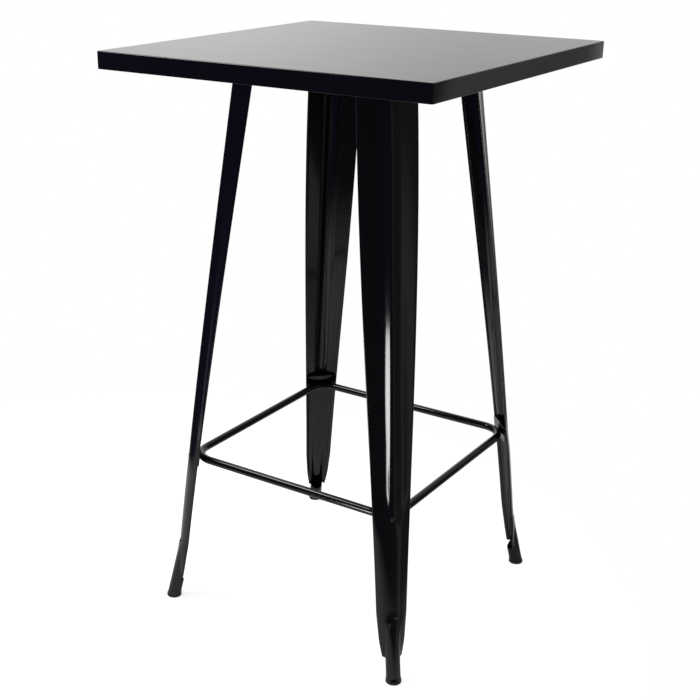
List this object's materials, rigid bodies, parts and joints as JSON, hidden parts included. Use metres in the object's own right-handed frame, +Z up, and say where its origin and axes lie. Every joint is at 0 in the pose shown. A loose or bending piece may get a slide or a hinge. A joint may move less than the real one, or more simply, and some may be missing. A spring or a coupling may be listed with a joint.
{
  "type": "pub table",
  "caption": "Tall square pub table in black painted sheet steel: a top with a folded rim, splayed pressed legs with rolled round feet, a square round-bar footrest and rubber glides.",
  "frame": {"origin": "on the floor under the middle of the top", "axes": "+Z up; X and Y along the sides of the square top; the legs point to its corners"},
  "size_m": [0.6, 0.6, 1],
  "materials": {
    "black_paint": "gloss black powder coat on steel",
    "black_screw": "blackened steel, satin",
    "plated_steel": "zinc plated",
    "foot_rubber": "matt black rubber"
  },
  "bodies": {
    "root": {"table_top": "black_paint", "top_channel_left": "black_paint", "top_channel_right": "black_paint", "top_rib_centre": "black_paint", "leg_front_left": "black_paint", "leg_front_right": "black_paint", "leg_back_right": "black_paint", "leg_back_left": "black_paint", "leg_plate_front_left": "black_paint", "leg_plate_front_right": "black_paint", "leg_plate_back_right": "black_paint", "leg_plate_back_left": "black_paint", "leg_bolts": "plated_steel", "leg_bolt_washers": "plated_steel", "leg_weld_nuts": "plated_steel", "footrest_ring": "black_paint", "footrest_saddle_front_left": "black_paint", "footrest_saddle_front_right": "black_paint", "footrest_saddle_back_right": "black_paint", "footrest_saddle_back_left": "black_paint", "footrest_screws": "black_screw", "footrest_spacers": "plated_steel", "foot_glide_front_left": "foot_rubber", "foot_glide_front_right": "foot_rubber", "foot_glide_back_right": "foot_rubber", "foot_glide_back_left": "foot_rubber"}
  },
  "joints": []
}
